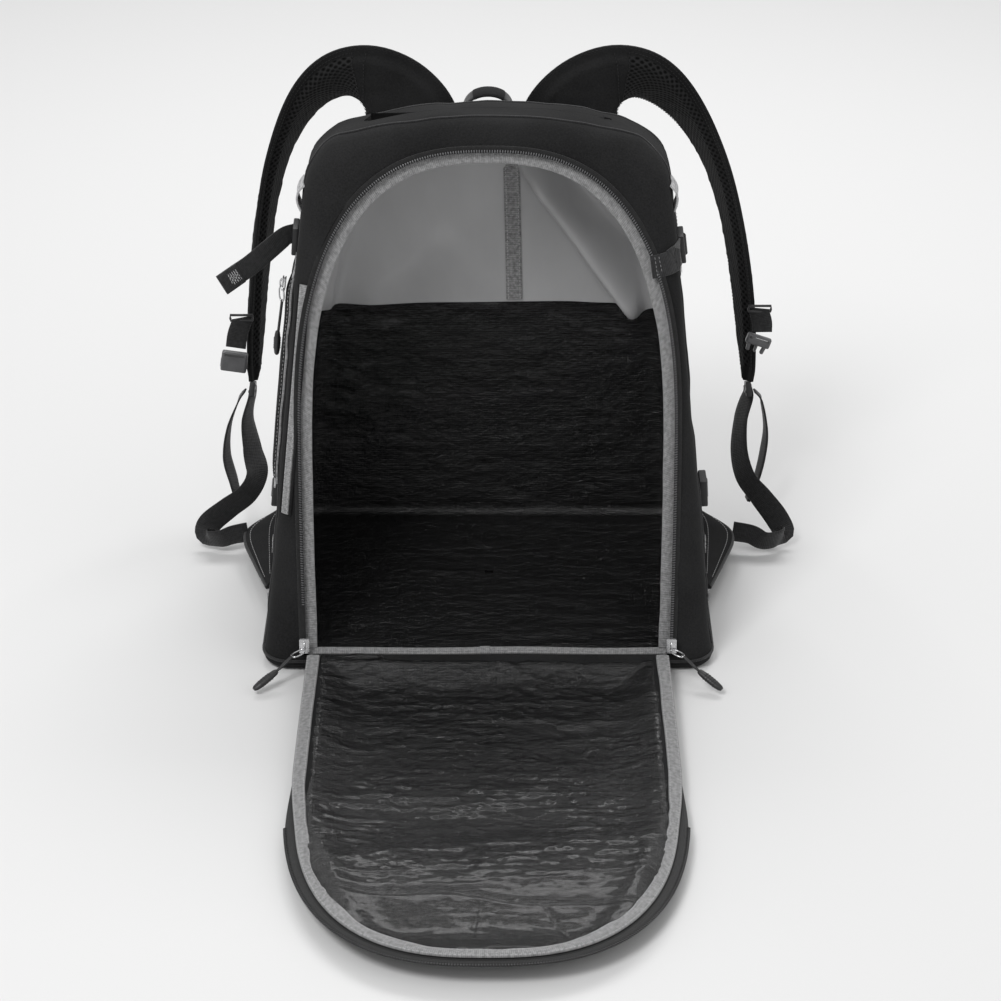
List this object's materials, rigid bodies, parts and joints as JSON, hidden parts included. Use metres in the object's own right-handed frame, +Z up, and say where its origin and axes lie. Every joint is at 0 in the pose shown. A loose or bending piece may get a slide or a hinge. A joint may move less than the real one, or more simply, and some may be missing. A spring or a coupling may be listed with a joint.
{
  "type": "ski boot bag",
  "caption": "Standing ski boot backpack with a full front flap that unzips and folds down as a mat, padded shoulder straps, carrying loop, webbing and zip pulls.",
  "frame": {"origin": "centre of the base where it rests on the floor", "axes": "+Z up, -Y out of the open front, +X to the right of someone facing the open front"},
  "size_m": [0.5954, 0.8412, 0.5122],
  "materials": {
    "pack_cloth": "woven polyester, dense plain weave, matt black",
    "grey_lining": "coated lining cloth, soft satin, mid grey",
    "tarpaulin": "laminated woven polyethylene tape, creased and glossy, black",
    "grey_binding": "grosgrain binding tape, mid grey",
    "zip_tape": "knitted zip tape and nylon coil, black",
    "webbing": "woven polyester webbing, black",
    "air_mesh": "3-D spacer mesh over foam, black",
    "light_tab": "light grey webbing tab",
    "black_plastic": "moulded acetal and rubber, black",
    "grey_plastic": "moulded acetal, graphite grey",
    "zip_metal": "die-cast zinc, plated"
  },
  "bodies": {
    "bag": {"base_panel": "pack_cloth", "back_panel": "pack_cloth", "front_frame": "pack_cloth", "top_panel": "pack_cloth", "side_panel_left": "pack_cloth", "side_panel_right": "pack_cloth", "cloth_lining": "grey_lining", "tarpaulin_liner": "tarpaulin", "opening_binding": "grey_binding", "opening_zip_tape": "zip_tape", "sill_binding": "grey_binding", "pocket_trim": "grey_binding", "pocket_zip": "zip_tape", "upper_buckle_left": "black_plastic", "upper_webbing_left": "webbing", "lower_buckle_left": "black_plastic", "lower_webbing_left": "webbing", "upper_buckle_right": "black_plastic", "upper_webbing_right": "webbing", "lower_buckle_right": "black_plastic", "lower_webbing_right": "webbing", "front_webbing_right": "webbing", "top_tab_left": "light_tab", "base_tab_left": "light_tab", "top_tab_right": "light_tab", "base_tab_right": "light_tab", "back_pad_left": "air_mesh", "back_pad_right": "air_mesh", "lumbar_pad": "air_mesh", "shoulder_yoke_left": "pack_cloth", "anchor_wing_left": "pack_cloth", "shoulder_yoke_right": "pack_cloth", "anchor_wing_right": "pack_cloth"},
    "flap": {"flap_panel": "pack_cloth", "flap_mat": "tarpaulin", "flap_zip_tape": "zip_tape", "flap_binding": "grey_binding"},
    "slider_left": {"main_slider_left": "zip_metal"},
    "slider_right": {"main_slider_right": "zip_metal"},
    "pull_left": {"slider_ring_left": "zip_metal", "pull_cord_left": "black_plastic"},
    "pull_right": {"slider_ring_right": "zip_metal", "pull_cord_right": "black_plastic"},
    "pocket_slider": {"pocket_slider": "zip_metal"},
    "pocket_pull": {"pocket_ring": "zip_metal", "pocket_pull_cord": "black_plastic"},
    "haul": {"haul_loop": "webbing"},
    "strap_left": {"shoulder_pad_left": "air_mesh", "ladder_lock_left": "black_plastic", "strap_webbing_left": "webbing", "webbing_tail_left": "webbing"},
    "strap_right": {"shoulder_pad_right": "air_mesh", "ladder_lock_right": "black_plastic", "strap_webbing_right": "webbing", "webbing_tail_right": "webbing"},
    "sternum_left": {"sternum_webbing_left": "webbing", "sternum_buckle_left": "grey_plastic"},
    "sternum_right": {"sternum_webbing_right": "webbing", "sternum_buckle_right": "grey_plastic"},
    "loose_strap": {"loose_webbing_left": "webbing"}
  },
  "joints": [
    {"name": "flap_hinge", "type": "hinge", "parent": "bag", "child": "flap", "pos_m": [0, -0.15, 0.018], "axis": [-1, 0, 0], "range_deg": [0, 106]},
    {"name": "main_slider_left", "type": "slide", "parent": "bag", "child": "slider_left", "axis": [0, 0.2508, 0.968], "range_m": [0, 0.15]},
    {"name": "main_pull_left", "type": "hinge", "parent": "slider_left", "child": "pull_left", "pos_m": [-0.1695, -0.15711, 0.0275], "axis": [-0.6097, 0.7926, 0], "range_deg": [0, 56]},
    {"name": "main_slider_right", "type": "slide", "parent": "bag", "child": "slider_right", "axis": [0, 0.2508, 0.968], "range_m": [0, 0.15]},
    {"name": "main_pull_right", "type": "hinge", "parent": "slider_right", "child": "pull_right", "pos_m": [0.1695, -0.15711, 0.0275], "axis": [-0.6097, -0.7926, 0], "range_deg": [0, 56]},
    {"name": "pocket_slider", "type": "slide", "parent": "bag", "child": "pocket_slider", "axis": [-0.0951, -0.2956, -0.9506], "range_m": [0, 0.15]},
    {"name": "pocket_pull", "type": "hinge", "parent": "pocket_slider", "child": "pocket_pull", "pos_m": [-0.1874, -0.01397, 0.331], "axis": [0, 1, 0], "range_deg": [0, 80]},
    {"name": "haul_loop", "type": "hinge", "parent": "bag", "child": "haul", "pos_m": [0, 0.124, 0.446], "axis": [1, 0, 0], "range_deg": [-80, 0]},
    {"name": "strap_left", "type": "hinge", "parent": "bag", "child": "strap_left", "pos_m": [-0.092, 0.125, 0.462], "axis": [0.3265, 0.1088, 0.9389], "range_deg": [-8, 15], "deforming": ["shoulder_yoke_left", "strap_webbing_left", "webbing_tail_left"]},
    {"name": "sternum_left", "type": "hinge", "parent": "strap_left", "child": "sternum_left", "pos_m": [-0.245, 0.161, 0.214], "axis": [0, 1, 0], "range_deg": [-25, 40]},
    {"name": "strap_right", "type": "hinge", "parent": "bag", "child": "strap_right", "pos_m": [0.098, 0.126, 0.462], "axis": [0.3226, -0.1111, -0.94], "range_deg": [-8, 15], "deforming": ["shoulder_yoke_right", "strap_webbing_right", "webbing_tail_right"]},
    {"name": "sternum_right", "type": "hinge", "parent": "strap_right", "child": "sternum_right", "pos_m": [0.268, 0.161, 0.224], "axis": [0, 1, 0], "range_deg": [-25, 40]},
    {"name": "loose_strap", "type": "hinge", "parent": "bag", "child": "loose_strap", "pos_m": [-0.187, 0.018, 0.366], "axis": [0, 0, 1], "range_deg": [-50, 20]}
  ]
}
